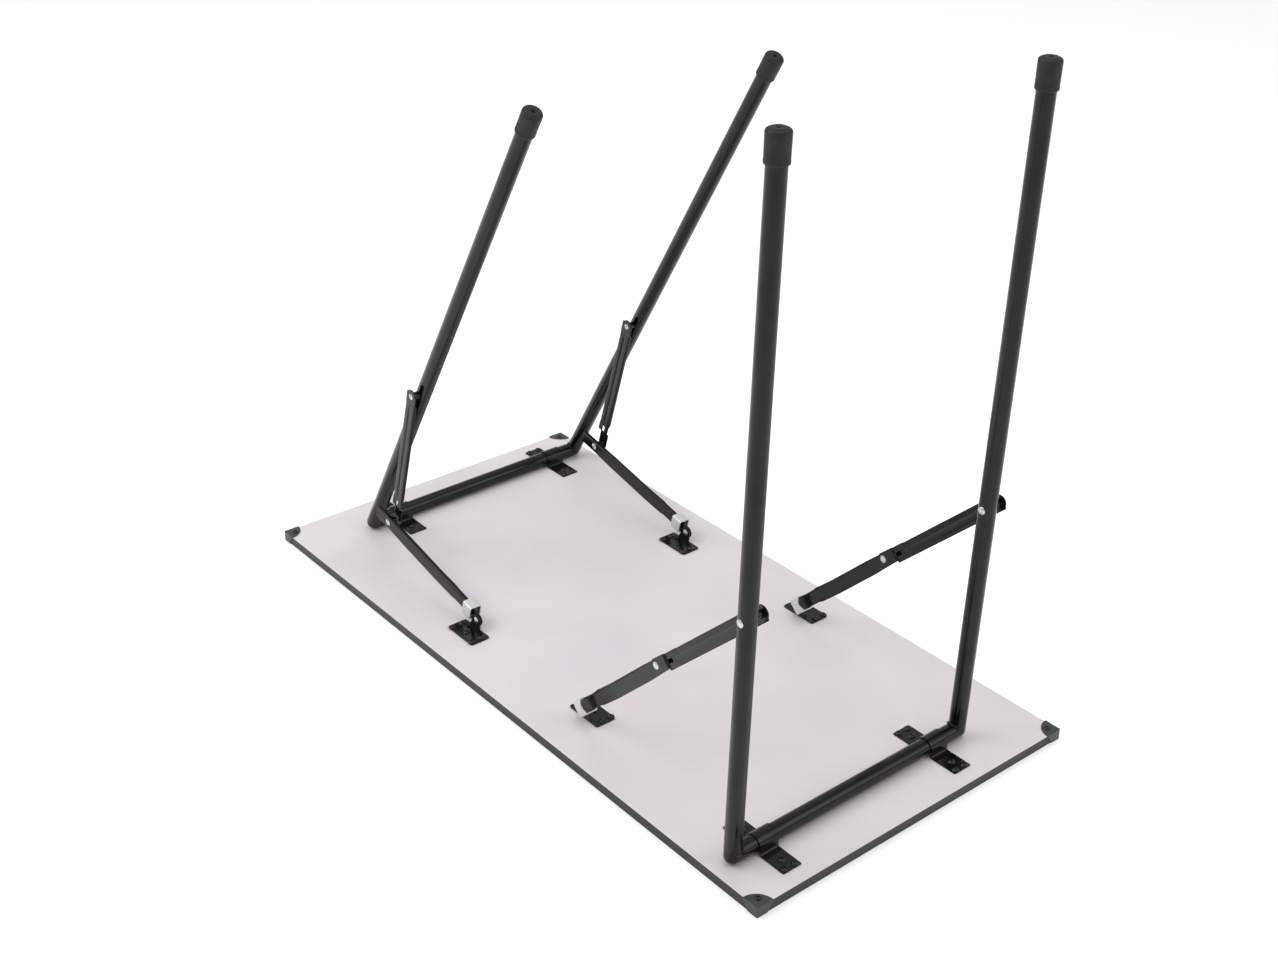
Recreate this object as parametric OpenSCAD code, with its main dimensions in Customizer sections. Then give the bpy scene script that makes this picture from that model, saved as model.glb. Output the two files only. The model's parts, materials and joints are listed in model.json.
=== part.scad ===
// Folding table with two U-shaped leg frames and four toggle braces.
// The table lies upside down: its working face is down at z = 0 and its feet point up.
// +X runs along the board towards the erect frame, -Y is the near long side.
// The frame at -X is the one at +X turned half a turn about Z, held part folded.

/* [Board] */
// Length of the board along X
board_l = 910; // [880:5:1000]
// Width of the board along Y
board_w = 450; // [445:1:520]
// Thickness of the board with both laminates
board_t = 11.5; // [9:0.5:14]
// Thickness of each laminate
laminate_t = 0.7; // [0.5:0.1:1]
// Thickness of the edge band
band_t = 1.5; // [1:0.1:2]
// Radius of the board's corners
board_r = 4; // [3:0.5:6]

/* [Corner protectors] */
// Reach of the quarter-round flap along each edge
flap_r = 21; // [19:1:26]
// Reach of the protector's walls where they meet the working face
guard_foot = 15; // [10:1:20]
// Wall of the protector
guard_t = 1; // [0.8:0.1:1.5]

/* [Leg frames] */
// Outer diameter of the tube
tube_d = 19; // [18:0.5:20]
// Wall of the tube
tube_wall = 1.2; // [1:0.1:1.6]
// Distance from the board's centre to each crossbar
crossbar_x = 391; // [385:1:400]
// Height of the crossbar's axis above the board
crossbar_h = 10; // [9.8:0.1:11]
// Distance from the crossbar's axis to the foot's end face
leg_len = 743; // [600:1:760]
// Half the distance between the two legs of a frame
leg_half = 164; // [160:1:168]
// Sideways shift of each frame that lets the two frames nest
frame_shift = 36; // [34:1:38]
// Leg's angle to the board on the erect frame
erect_angle = 91.5; // [90:0.1:92]
// Leg's angle to the board on the part folded frame
stored_angle = 59.5; // [50:0.5:70]

/* [Foot caps] */
// Outer diameter of the foot cap
cap_d = 22.6; // [22:0.1:24]
// Length of the foot cap
cap_len = 30; // [26:1:34]
// Thickness of the cap's end
cap_end = 5; // [4:0.5:6]

/* [Saddles] */
// Length of the saddle strap along X
saddle_l = 90; // [88:1:96]
// Width of the saddle strap along Y
saddle_w = 25; // [24:1:28]
// Half the distance between the two saddles of a frame
saddle_half = 124.6; // [120:0.1:128]

/* [Braces] */
// Distance from the board's centre to each bracket pivot
bracket_x = 109; // [108:0.5:112]
// Height of the bracket pivot above the board
bracket_h = 13.5; // [13.5:0.5:18]
// Distance from the crossbar's axis to the pivot on the leg
leg_pivot = 280; // [280:1:290]
// Length of the bracket plate along X
plate_l = 50; // [48:1:54]
// Width of the bracket plate along Y
plate_w = 26; // [24:1:28]
// Rise of the knee past the straight line on the erect frame
knee_lift = 2.8; // [2:0.1:3]
// Depth of the upper link's channel
upper_depth = 4; // [3:0.5:8]
// Depth of the lower link's channel
lower_depth = 5; // [4:0.5:9]
// Width of the upper link
upper_w = 18; // [17:0.5:18.5]
// Width of the lower link
lower_w = 16; // [15:0.5:16]
// Reach of the lower link past the knee
lower_tip = 26; // [22:1:26]
// Diameter of the rivets' shanks
rivet_d = 5; // [4:0.5:6]

/* [Locking collars] */
// Length of the collar along the link
collar_l = 16; // [14:1:18]
// Wall of the collar
collar_t = 1.2; // [1:0.1:1.3]

/* [Hidden] */
$fn = 48;

paint = [0.17, 0.17, 0.16];
plastic = [0.3, 0.32, 0.32];
zinc = [0.78, 0.79, 0.78];
laminate = [0.87, 0.85, 0.87];

right = 1;
left = -1;
tube_r = tube_d / 2;
pivot_z = board_t + crossbar_h;
fit = 0.06;                    // radial play of a pin in its hole
gap = 0.3;                     // least gap between neighbouring moving parts
sheet = 1.3;                   // pressed steel of the links and saddles
head_t = 1.5;                  // height of a rivet's head
rivet_r = rivet_d / 2;
head_r = rivet_r + 1.9;
stub = tube_r + 2;             // crossbar stub welded to the foot of a leg

// Depths of the brace's layers, measured in Y from the leg's axis
upper_out = 18.6;
upper_in = upper_out - upper_depth;
collar_in = upper_out + gap;
lower_out = collar_in + collar_t + gap + 10;
lower_in = lower_out - lower_depth;
ear_t = 1.8;
ear_in = lower_out + 0.9;
ear_out = ear_in + ear_t;
collar_out = ear_out + gap + collar_t;
plate_t = 2;
plate_in = ear_in;

// Brace geometry of a frame at a leg angle, as [x, z] points
function bracket_pivot() = [bracket_x, board_t + bracket_h];
function leg_pivot_at(angle) = [crossbar_x - leg_pivot * cos(angle), pivot_z + leg_pivot * sin(angle)];
link_len = norm([norm(leg_pivot_at(erect_angle) - bracket_pivot()) / 2, knee_lift]);
function knee_at(angle) =
    let (a = bracket_pivot(), p = leg_pivot_at(angle), d = norm(p - a), u = (p - a) / d)
    (a + p) / 2 + (angle == erect_angle ? -knee_lift : sqrt(max(0, link_len ^ 2 - d ^ 2 / 4))) * [u[1], -u[0]];
function heading(from, to) = atan2(to[1] - from[1], to[0] - from[0]);

function leg_angle(end) = end == right ? erect_angle : stored_angle;
function leg_y(row) = -frame_shift + row * leg_half;
function collar_at(end) = end == right ? 6.3 : 11;

// Places children of a frame that is drawn at the +X end
module at_end(end) rotate([0, 0, end == right ? 0 : 180]) children();

// Local +Z runs from the crossbar's axis to the foot
module on_frame(end)
    at_end(end) translate([crossbar_x, 0, pivot_z]) rotate([0, leg_angle(end) - 90, 0]) children();

// Local +X runs from the bracket pivot to the knee, and y = 0 is the leg's axis
module on_lower_link(end, row) {
    a = bracket_pivot();
    at_end(end) translate([a[0], leg_y(row), a[1]])
        rotate([0, -heading(a, knee_at(leg_angle(end))), 0]) children();
}

// Local +X runs from the leg pivot to the knee, and y = 0 is the leg's axis
module on_upper_link(end, row) {
    p = leg_pivot_at(leg_angle(end));
    at_end(end) translate([p[0], leg_y(row), p[1]])
        rotate([0, -heading(p, knee_at(leg_angle(end))), 0]) children();
}

// A cylinder along +Y from y0 to y1
module rod(r, y0, y1) translate([0, y1, 0]) rotate([90, 0, 0]) cylinder(h = y1 - y0, r = r);

// A flat sheet in the XZ plane from y0 to y1, drawn from a 2D outline in x and z
module sheet_xz(y0, y1) translate([0, y1, 0]) rotate([90, 0, 0]) linear_extrude(y1 - y0) children();

// Plate with true arcs at its corners
module rounded_plate(l, w, t, r) linear_extrude(t) union() {
    square([l - 2 * r, w], center = true);
    square([l, w - 2 * r], center = true);
    for (x = [-1, 1], y = [-1, 1]) translate([x * (l / 2 - r), y * (w / 2 - r)]) circle(r);
}

// Low domed screw head that sits on a face at z = 0, with a cross recess and a shank below
module screw(head_r, dome, shank_r, shank) {
    difference() {
        intersection() {
            translate([0, 0, dome - (head_r ^ 2 + dome ^ 2) / (2 * dome)])
                sphere((head_r ^ 2 + dome ^ 2) / (2 * dome));
            cylinder(h = dome, r = head_r);
        }
        for (turn = [0, 90]) rotate([0, 0, turn])
            translate([-head_r * 0.45, -0.4, dome - 1]) cube([head_r * 0.9, 0.8, 2]);
    }
    translate([0, 0, -shank]) cylinder(h = shank, r = shank_r);
}

// Domed rivet head along +Y with its flat on y = 0
module rivet_head() rotate([-90, 0, 0]) intersection() {
    translate([0, 0, head_t - (head_r ^ 2 + head_t ^ 2) / (2 * head_t)])
        sphere((head_r ^ 2 + head_t ^ 2) / (2 * head_t));
    cylinder(h = head_t, r = head_r);
}

// ---- Board ----
module board_slab(z0, z1, inset = 0) translate([0, 0, z0])
    rounded_plate(board_l - 2 * inset, board_w - 2 * inset, z1 - z0, board_r - inset);

module worktop_laminate() color(laminate) board_slab(0, laminate_t, band_t);

module board_core() color([0.72, 0.6, 0.44]) difference() {
    board_slab(laminate_t, board_t - laminate_t, band_t);
    screw_places() translate([0, 0, board_t - 6]) cylinder(h = 6, r = 1.6, $fn = 24);
}

module underside_laminate() color(laminate) difference() {
    board_slab(board_t - laminate_t, board_t);
    screw_places() translate([0, 0, board_t - 6]) cylinder(h = 8, r = 1.6, $fn = 24);
}

// The band runs round the worktop and the core, under the overhang of the underside's laminate
module edge_band() color(plastic) difference() {
    board_slab(0, board_t - laminate_t);
    translate([0, 0, -1]) board_slab(0, board_t + 2, band_t);
}

// ---- Corner protectors ----
corner_screw_in = 9.5;
module at_corner(sx, sy)
    translate([sx * board_l / 2, sy * board_w / 2, 0]) mirror([sx < 0 ? 1 : 0, 0, 0])
        mirror([0, sy < 0 ? 1 : 0, 0]) children();

module corner_protector(sx, sy) color(plastic) at_corner(sx, sy) difference() {
    union() {
        // flap on the underside
        translate([0, 0, board_t]) intersection() {
            translate([guard_t, guard_t, 0]) cylinder(h = guard_t, r = flap_r, $fn = 96);
            translate([guard_t - flap_r, guard_t - flap_r, 0]) cube([flap_r, flap_r, guard_t]);
        }
        // walls down both edges, with slanted ends
        difference() {
            translate([guard_t - flap_r, guard_t - flap_r, 0]) cube([flap_r, flap_r, board_t]);
            translate([-flap_r * 2, -flap_r * 2, -1]) cube([flap_r * 2, flap_r * 2, board_t + 2]);
            guard_slant();
            mirror([1, -1, 0]) guard_slant();
        }
    }
    translate([-corner_screw_in, -corner_screw_in, 0]) cylinder(h = board_t + 5, r = 1.6, $fn = 24);
}

// Wedge that slants the end of one wall, so that it narrows away from the flap
module guard_slant() translate([0, guard_t + 1, 0]) rotate([90, 0, 0]) linear_extrude(flap_r * 2)
    polygon([[guard_t - flap_r - 1, -1], [guard_t - guard_foot, -1], [guard_t - flap_r, board_t],
        [guard_t - flap_r - 1, board_t]]);

module corner_screws() color(paint) for (sx = [-1, 1], sy = [-1, 1])
    at_corner(sx, sy) translate([-corner_screw_in, -corner_screw_in, board_t + guard_t])
        screw(3.4, 1.9, 1.6, 6);

// ---- Saddles ----
saddle_holes = [[-41, -7], [-41, 7], [-29, 0], [29, 0], [41, -7], [41, 7]];
saddle_t = sheet;
saddle_r = 1.5;                // radius of the flanges' corners
saddle_ri = tube_r + fit;
saddle_ro = saddle_ri + saddle_t;
module at_saddle(end, row)
    at_end(end) translate([crossbar_x, -frame_shift + row * saddle_half, board_t]) children();

module saddle(end, row) color(paint) at_saddle(end, row) difference() {
    union() {
        rounded_plate(saddle_l, saddle_w, saddle_t, saddle_r);
        translate([0, 0, crossbar_h]) rod(saddle_ro, -saddle_w / 2, saddle_w / 2);
        translate([-saddle_ro, -saddle_w / 2, 0]) cube([2 * saddle_ro, saddle_w, crossbar_h]);
    }
    translate([0, 0, crossbar_h]) rod(saddle_ri, -saddle_w, saddle_w);
    translate([-saddle_ri, -saddle_w, -tube_d]) cube([2 * saddle_ri, 2 * saddle_w, tube_d + crossbar_h]);
    for (p = saddle_holes) translate([p[0], p[1], -1]) cylinder(h = 5, r = 1.6, $fn = 24);
}

module saddle_screws() color(paint) for (end = [left, right], row = [-1, 1], p = saddle_holes)
    at_saddle(end, row) translate([p[0], p[1], saddle_t]) screw(3.9, 2.1, 1.6, 6);

// ---- Brackets ----
plate_holes = [[-20, 9.2], [20, 9.2], [0, 16.2], [-20, 23.2], [20, 23.2]];
ear_r = 7.6;
module at_bracket(end, row)
    at_end(end) translate([bracket_x, leg_y(row) + plate_in, board_t]) children();

module bracket(end, row) color(paint) at_bracket(end, row) difference() {
    union() {
        translate([0, plate_w / 2, 0]) rounded_plate(plate_l, plate_w, plate_t, 2.5);
        sheet_xz(0, ear_t) union() {
            translate([0, bracket_h]) circle(ear_r);
            polygon([[-5.4, plate_t], [-7.45, bracket_h - 1.5], [0, bracket_h], [7.45, bracket_h + 1.5],
                [13, plate_t + 1.5], [13, plate_t - 1], [-5.4, plate_t - 1]]);
        }
    }
    translate([0, 0, bracket_h]) rod(rivet_r, -1, ear_t + 1);
    for (p = plate_holes) translate([p[0], p[1], -1]) cylinder(h = 5, r = 1.6, $fn = 24);
}

module bracket_screws() color(paint) for (end = [left, right], row = [-1, 1], p = plate_holes)
    at_bracket(end, row) translate([p[0], p[1], plate_t]) screw(3.8, 2, 1.6, 6);

// Rivet that carries the lower link: one head in the link's channel, one outside the ear
module bracket_rivets() color(zinc) for (end = [left, right], row = [-1, 1])
    at_end(end) translate([bracket_x, leg_y(row), board_t + bracket_h]) {
        rod(rivet_r, lower_out - sheet - gap, ear_out);
        translate([0, ear_out, 0]) rivet_head();
        mirror([0, 1, 0]) translate([0, -(lower_out - sheet - gap), 0]) rivet_head();
    }

// All wood screw places on the underside
module screw_places() {
    for (sx = [-1, 1], sy = [-1, 1])
        at_corner(sx, sy) translate([-corner_screw_in, -corner_screw_in, 0]) children();
    for (end = [left, right], row = [-1, 1]) at_end(end) {
        for (p = saddle_holes)
            translate([crossbar_x + p[0], -frame_shift + row * saddle_half + p[1], 0]) children();
        for (p = plate_holes) translate([bracket_x + p[0], leg_y(row) + plate_in + p[1], 0]) children();
    }
}

// ---- Leg frames ----
module leg(end, row) color(paint) on_frame(end) translate([0, leg_y(row), 0]) difference() {
    union() {
        cylinder(h = leg_len - cap_end, r = tube_r);
        sphere(tube_r);
        rod(tube_r, row < 0 ? 0 : -stub, row < 0 ? stub : 0);
    }
    cylinder(h = leg_len, r = tube_r - tube_wall);
    sphere(tube_r - tube_wall);
    rod(tube_r - tube_wall, row < 0 ? 0 : -stub - 1, row < 0 ? stub + 1 : 0);
    translate([0, 0, leg_pivot]) rod(rivet_r, -tube_d, tube_d);
}

module crossbar(end) color(paint) on_frame(end) translate([0, -frame_shift, 0]) difference() {
    rod(tube_r, stub - leg_half, leg_half - stub);
    rod(tube_r - tube_wall, -leg_half, leg_half);
}

// Run of weld beads along the inside of each mitred elbow, clear of the board when folded
bead_r = 1.5;
module weld_beads(end) color(paint) on_frame(end) for (row = [-1, 1])
    translate([0, leg_y(row), 0]) difference() {
        for (t = [36:12:144])
            translate([tube_r * cos(t), -row * tube_r * sin(t), tube_r * sin(t)]) sphere(bead_r, $fn = 10);
        translate([0, 0, -tube_r]) cylinder(h = 3 * tube_r, r = tube_r);
        rod(tube_r, -3 * tube_r, 3 * tube_r);
    }

edge_r = 3;
function quarter(cx, cy, r) = [for (a = [0:15:90]) [cx + r * cos(a), cy + r * sin(a)]];
module foot_cap(end, row) color([0.2, 0.2, 0.19])
    on_frame(end) translate([0, leg_y(row), leg_len - cap_len]) rotate_extrude($fn = 72)
        polygon(concat(
            [[tube_r, 0], [cap_d / 2 - 0.7, 0], [cap_d / 2, 1.6]],
            quarter(cap_d / 2 - edge_r, cap_len - edge_r - 0.8, edge_r),
            [[7.4, cap_len], [2.4, cap_len], [1.6, cap_len - 2], [0, cap_len - 2],
             [0, cap_len - cap_end], [tube_r, cap_len - cap_end]]));

// Each leg rivet has a domed head outside the tube, a spacer, and a flatter tail on the upper link
tail_gap = 0.15;
tail_t = 1.1;
spacer_r = 4.3;
module leg_rivets(end) color(zinc) on_frame(end) for (row = [-1, 1])
    translate([0, leg_y(row), leg_pivot]) {
        rod(rivet_r, -tube_r, upper_out + tail_gap);
        rod(head_r - 0.6, upper_out + tail_gap, upper_out + tail_gap + tail_t);
        rod(spacer_r, tube_r + 0.05, upper_out - sheet - tail_gap);
        mirror([0, 1, 0]) translate([0, tube_r, 0]) rivet_head();
    }

// ---- Links ----
// Channel from x0 to x1 with its web between y_web and y_out and flanges back to y_in
module channel(x0, x1, w, y_in, y_out) union() {
    sheet_xz(y_out - sheet, y_out) translate([x0, -w / 2]) square([x1 - x0, w]);
    for (z = [-w / 2, w / 2 - sheet]) translate([x0, y_in, z]) cube([x1 - x0, y_out - y_in, sheet]);
}

// Web with a round end about the pivot
module round_end(w, y0, y1, x1) union() {
    rod(w / 2, y0, y1);
    translate([min(0, x1), y0, -w / 2]) cube([abs(x1), y1 - y0, w]);
}

upper_flange_0 = 10;           // flanges start clear of the leg rivet
upper_flange_1 = 32;           // and stop short of the knee
knee_w = 15;                   // width of the round end at the knee
knee_reach = 20;
rib_w = 5;
heel = 4.2;                    // reach past the rivet of the square corner beside the round end
module leg_end() sheet_xz(upper_out - sheet, upper_out) union() {
    circle(upper_w / 2);
    polygon([[-upper_w / 2, 0], [-heel, upper_w / 2], [link_len / 2, upper_w / 2],
        [link_len / 2, -upper_w / 2], [0, -upper_w / 2]]);
}

module upper_link(end, row) color(paint) on_upper_link(end, row) difference() {
    union() {
        channel(upper_flange_0, link_len - upper_flange_1, upper_w, upper_in, upper_out);
        leg_end();
        translate([link_len, 0, 0]) round_end(knee_w, upper_out - sheet, upper_out, -link_len / 2);
        sheet_xz(upper_out - sheet, upper_out)
            translate([upper_flange_0, -upper_w / 2]) square([link_len - upper_flange_0 - knee_reach, upper_w]);
        // pressed rib on the inside of the web
        sheet_xz(upper_out - sheet - 1, upper_out - sheet) union() {
            translate([18, -rib_w / 2]) square([link_len - 58, rib_w]);
            for (x = [18, link_len - 40]) translate([x, 0]) circle(rib_w / 2);
        }
    }
    rod(rivet_r + fit, 0, 2 * upper_out);
    translate([link_len, 0, 0]) rod(rivet_r, 0, 2 * upper_out);
}

lower_flange_0 = 17;           // flanges start clear of the bracket and its rivet
module lower_link(end, row) color(paint) on_lower_link(end, row) difference() {
    union() {
        channel(lower_flange_0, link_len + lower_tip, lower_w, lower_in, lower_out);
        round_end(lower_w - 0.6, lower_out - sheet, lower_out, lower_flange_0);
    }
    rod(rivet_r + fit, 0, 2 * lower_out);
    translate([link_len, 0, 0]) rod(rivet_r, 0, 2 * lower_out);
}

// The knee rivet, parted at the face between the two links
module lower_knee_rivet(end, row) color(zinc) on_lower_link(end, row) translate([link_len, 0, 0]) {
    rod(rivet_r, lower_out - sheet, lower_out);
    rod(rivet_r + 2, upper_out + gap, lower_out - sheet);
    translate([0, lower_out, 0]) rivet_head();
}

module upper_knee_rivet(end, row) color(zinc) on_upper_link(end, row) translate([link_len, 0, 0]) {
    rod(rivet_r, upper_out - sheet, upper_out);
    mirror([0, 1, 0]) translate([0, -(upper_out - sheet), 0]) rivet_head();
}

// ---- Locking collars ----
// Sleeve around the link and the ear, with a round notch in its leg side at the knee's end
collar_r = 2;                  // radius of its outer corners
collar_d = collar_out - collar_in;
notch_r = 7;
relief_l = 6.8;                // relief that lets the collar's lower wall pass the ear
relief_h = 2.3;
module collar(end, row) color(zinc) on_lower_link(end, row) translate([collar_at(end), 0, 0]) difference() {
    translate([0, (collar_in + collar_out) / 2, 0]) rotate([0, 90, 0]) difference() {
        rounded_plate(lower_w + 2 * (gap + collar_t), collar_d, collar_l, collar_r);
        translate([0, 0, -1])
            rounded_plate(lower_w + 2 * gap, collar_d - 2 * collar_t, collar_l + 2, collar_r - collar_t);
    }
    translate([collar_l + notch_r / 2, 0, 0]) rod(notch_r, collar_in - 1, collar_in + collar_t + 0.1);
    translate([-1, ear_in - 0.5, -lower_w])
        cube([relief_l + 1, lower_w, lower_w / 2 - gap - collar_t + relief_h]);
}

worktop_laminate();
board_core();
underside_laminate();
edge_band();
corner_protector(-1, -1);  // near_left_corner_protector
corner_protector(1, -1);  // near_right_corner_protector
corner_protector(-1, 1);  // far_left_corner_protector
corner_protector(1, 1);  // far_right_corner_protector
corner_screws();
saddle(left, 1);  // left_near_saddle
saddle(left, -1);  // left_far_saddle
saddle(right, -1);  // right_near_saddle
saddle(right, 1);  // right_far_saddle
saddle_screws();
bracket(left, 1);  // left_near_bracket
bracket(left, -1);  // left_far_bracket
bracket(right, -1);  // right_near_bracket
bracket(right, 1);  // right_far_bracket
bracket_screws();
bracket_rivets();
leg(left, 1);  // left_near_leg
leg(left, -1);  // left_far_leg
crossbar(left);  // left_crossbar
weld_beads(left);  // left_weld_beads
foot_cap(left, 1);  // left_near_foot_cap
foot_cap(left, -1);  // left_far_foot_cap
leg_rivets(left);  // left_leg_rivets
leg(right, -1);  // right_near_leg
leg(right, 1);  // right_far_leg
crossbar(right);  // right_crossbar
weld_beads(right);  // right_weld_beads
foot_cap(right, -1);  // right_near_foot_cap
foot_cap(right, 1);  // right_far_foot_cap
leg_rivets(right);  // right_leg_rivets
upper_link(left, 1);  // left_near_upper_link
upper_link(left, -1);  // left_far_upper_link
upper_link(right, -1);  // right_near_upper_link
upper_link(right, 1);  // right_far_upper_link
upper_knee_rivet(left, 1);  // left_near_upper_knee_rivet
upper_knee_rivet(left, -1);  // left_far_upper_knee_rivet
upper_knee_rivet(right, -1);  // right_near_upper_knee_rivet
upper_knee_rivet(right, 1);  // right_far_upper_knee_rivet
lower_link(left, 1);  // left_near_lower_link
lower_link(left, -1);  // left_far_lower_link
lower_link(right, -1);  // right_near_lower_link
lower_link(right, 1);  // right_far_lower_link
lower_knee_rivet(left, 1);  // left_near_lower_knee_rivet
lower_knee_rivet(left, -1);  // left_far_lower_knee_rivet
lower_knee_rivet(right, -1);  // right_near_lower_knee_rivet
lower_knee_rivet(right, 1);  // right_far_lower_knee_rivet
collar(left, 1);  // left_near_collar
collar(left, -1);  // left_far_collar
collar(right, -1);  // right_near_collar
collar(right, 1);  // right_far_collar
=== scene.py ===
import json
import math
import random
import bmesh
import bpy
from mathutils import Matrix, Vector


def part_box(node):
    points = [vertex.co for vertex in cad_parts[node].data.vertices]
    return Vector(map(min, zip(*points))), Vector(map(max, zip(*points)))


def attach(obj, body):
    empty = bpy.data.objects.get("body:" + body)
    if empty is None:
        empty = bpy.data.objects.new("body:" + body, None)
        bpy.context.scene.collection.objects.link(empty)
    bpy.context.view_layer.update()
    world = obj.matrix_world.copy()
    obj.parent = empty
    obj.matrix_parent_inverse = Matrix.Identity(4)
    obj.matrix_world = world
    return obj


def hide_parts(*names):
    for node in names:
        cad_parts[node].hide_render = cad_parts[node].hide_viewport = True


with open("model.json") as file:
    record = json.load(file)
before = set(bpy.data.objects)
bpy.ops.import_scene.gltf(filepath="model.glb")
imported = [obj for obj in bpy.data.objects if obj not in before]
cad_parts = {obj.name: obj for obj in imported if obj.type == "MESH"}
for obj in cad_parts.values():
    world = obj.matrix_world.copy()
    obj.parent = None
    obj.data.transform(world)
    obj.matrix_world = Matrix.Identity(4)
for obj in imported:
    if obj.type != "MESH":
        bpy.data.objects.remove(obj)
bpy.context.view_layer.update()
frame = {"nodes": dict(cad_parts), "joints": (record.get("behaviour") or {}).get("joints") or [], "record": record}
joints = {joint["name"]: joint for joint in frame["joints"]}
random.seed(7)
mm = 0.001
ends = {"left": -1, "right": 1}
rows = ("near", "far")


# shader maths
class Value:
    # a node's output that can be used in sums
    def __init__(self, finish, socket):
        self.finish = finish
        self.socket = socket

    def sums(self, operation, first, second):
        return self.finish.add("ShaderNodeMath", {"operation": operation}, {0: first, 1: second})

    def __add__(self, other):
        return self.sums("ADD", self, other)

    def __radd__(self, other):
        return self.sums("ADD", other, self)

    def __rsub__(self, other):
        return self.sums("SUBTRACT", other, self)

    def __mul__(self, other):
        return self.sums("MULTIPLY", self, other)


class Finish:
    # one material with its principled shader
    def __init__(self, name, **shaderValues):
        self.material = bpy.data.materials.new(name)
        self.material.use_nodes = True
        self.tree = self.material.node_tree
        self.shader = self.tree.nodes["Principled BSDF"]
        for socketName, value in shaderValues.items():
            self.shader.inputs[socketName.replace("_", " ")].default_value = value
        self.place = self.add("ShaderNodeTexCoord", output="Object")

    def feed(self, socket, value):
        if isinstance(value, Value):
            self.tree.links.new(value.socket, socket)
        else:
            socket.default_value = value

    def add(self, kind, settings=None, sockets=None, output=0):
        node = self.tree.nodes.new(kind)
        for setting, value in (settings or {}).items():
            setattr(node, setting, value)
        for socketName, value in (sockets or {}).items():
            self.feed(node.inputs[socketName], value)
        return Value(self, node.outputs[output])

    def stretched(self, x, y, z):
        return self.add("ShaderNodeMapping", None, {"Vector": self.place, "Scale": (x, y, z)})

    def noise(self, scale, detail, roughness=0.5, vector=None):
        sockets = {"Vector": vector or self.place, "Scale": scale, "Detail": detail}
        sockets["Roughness"] = roughness
        return self.add("ShaderNodeTexNoise", None, sockets)

    def cells(self, scale, vector=None):
        return self.add("ShaderNodeTexVoronoi", None, {"Vector": vector or self.place, "Scale": scale})

    def step(self, value, low, high, start=0.0, stop=1.0):
        sockets = {"Value": value, "From Min": low, "From Max": high, "To Min": start, "To Max": stop}
        return self.add("ShaderNodeMapRange", {"interpolation_type": "SMOOTHSTEP"}, sockets)

    def blend(self, factor, first, second):
        sockets = {0: factor, 6: first, 7: second}
        return self.add("ShaderNodeMix", {"data_type": "RGBA"}, sockets, output=2)

    def colour(self, value):
        self.feed(self.shader.inputs["Base Color"], value)

    def dull(self, value):
        self.feed(self.shader.inputs["Roughness"], value)

    def relief(self, height, distance, strength):
        sockets = {"Height": height, "Distance": distance, "Strength": strength}
        self.feed(self.shader.inputs["Normal"], self.add("ShaderNodeBump", None, sockets))


def shade(red, green, blue):
    # a colour given as display values from 0 to 255
    def linear(level):
        level /= 255
        return level / 12.92 if level <= 0.04045 else ((level + 0.055) / 1.055) ** 2.4
    return (linear(red), linear(green), linear(blue), 1.0)


# finishes
laminateLook = {
    "pale": shade(229, 223, 226),
    "deep": shade(223, 216, 220),
    "speck": shade(120, 112, 108),
    "scuff": shade(206, 199, 204),
}


def laminateFinish():
    finish = Finish("laminate", IOR=1.46)
    cloudy = finish.step(finish.noise(6, 4), 0.35, 0.65)
    grain = finish.noise(900, 2)
    colour = finish.blend(cloudy, laminateLook["pale"], laminateLook["deep"])
    colour = finish.blend(finish.step(grain, 0.3, 0.9) * 0.12, colour, laminateLook["scuff"])
    # a few dust specks, thinned out by a wide noise
    specks = finish.step(finish.cells(60), 0.03, 0.055, 1, 0)
    few = finish.step(finish.noise(23, 1), 0.66, 0.7)
    colour = finish.blend(specks * few * 0.55, colour, laminateLook["speck"])
    # long faint wipe marks
    wiped = finish.step(finish.noise(9, 5, 0.7, finish.stretched(1, 5, 1)), 0.56, 0.75)
    finish.colour(colour)
    finish.dull(0.36 + wiped * 0.1 + cloudy * 0.04)
    finish.relief(grain, 0.00006, 0.35)
    return finish.material


paintLook = {
    "black": shade(8, 8, 7),
    "brown": shade(13, 12, 9),
    "dust": shade(88, 88, 80),
}


def paintFinish():
    finish = Finish("painted_steel", IOR=1.34, Coat_Roughness=0.06)
    tone = finish.step(finish.noise(14, 3), 0.35, 0.7)
    colour = finish.blend(tone, paintLook["black"], paintLook["brown"])
    dust = finish.step(finish.noise(420, 3, 0.6), 0.66, 0.8) * finish.step(finish.noise(40, 2), 0.5, 0.7)
    finish.colour(finish.blend(dust * 0.35, colour, paintLook["dust"]))
    handled = finish.step(finish.noise(30, 5, 0.65), 0.45, 0.75)
    finish.dull(0.17 + handled * 0.08 + dust * 0.2)
    finish.feed(finish.shader.inputs["Coat Weight"], 0.16 - handled * 0.1)
    peel = finish.noise(520, 2) + finish.noise(1900, 1) * 0.25
    finish.relief(peel, 0.00008, 0.2)
    return finish.material


def bandFinish():
    finish = Finish("edge_band", IOR=1.45)
    streaks = finish.noise(70, 4, 0.6, finish.stretched(0.4, 0.4, 40))
    finish.colour(finish.blend(finish.step(streaks, 0.3, 0.75), shade(34, 34, 31), shade(43, 43, 39)))
    finish.dull(0.42 + streaks * 0.12)
    finish.relief(streaks + finish.noise(1400, 2) * 0.5, 0.00015, 0.3)
    return finish.material


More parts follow.
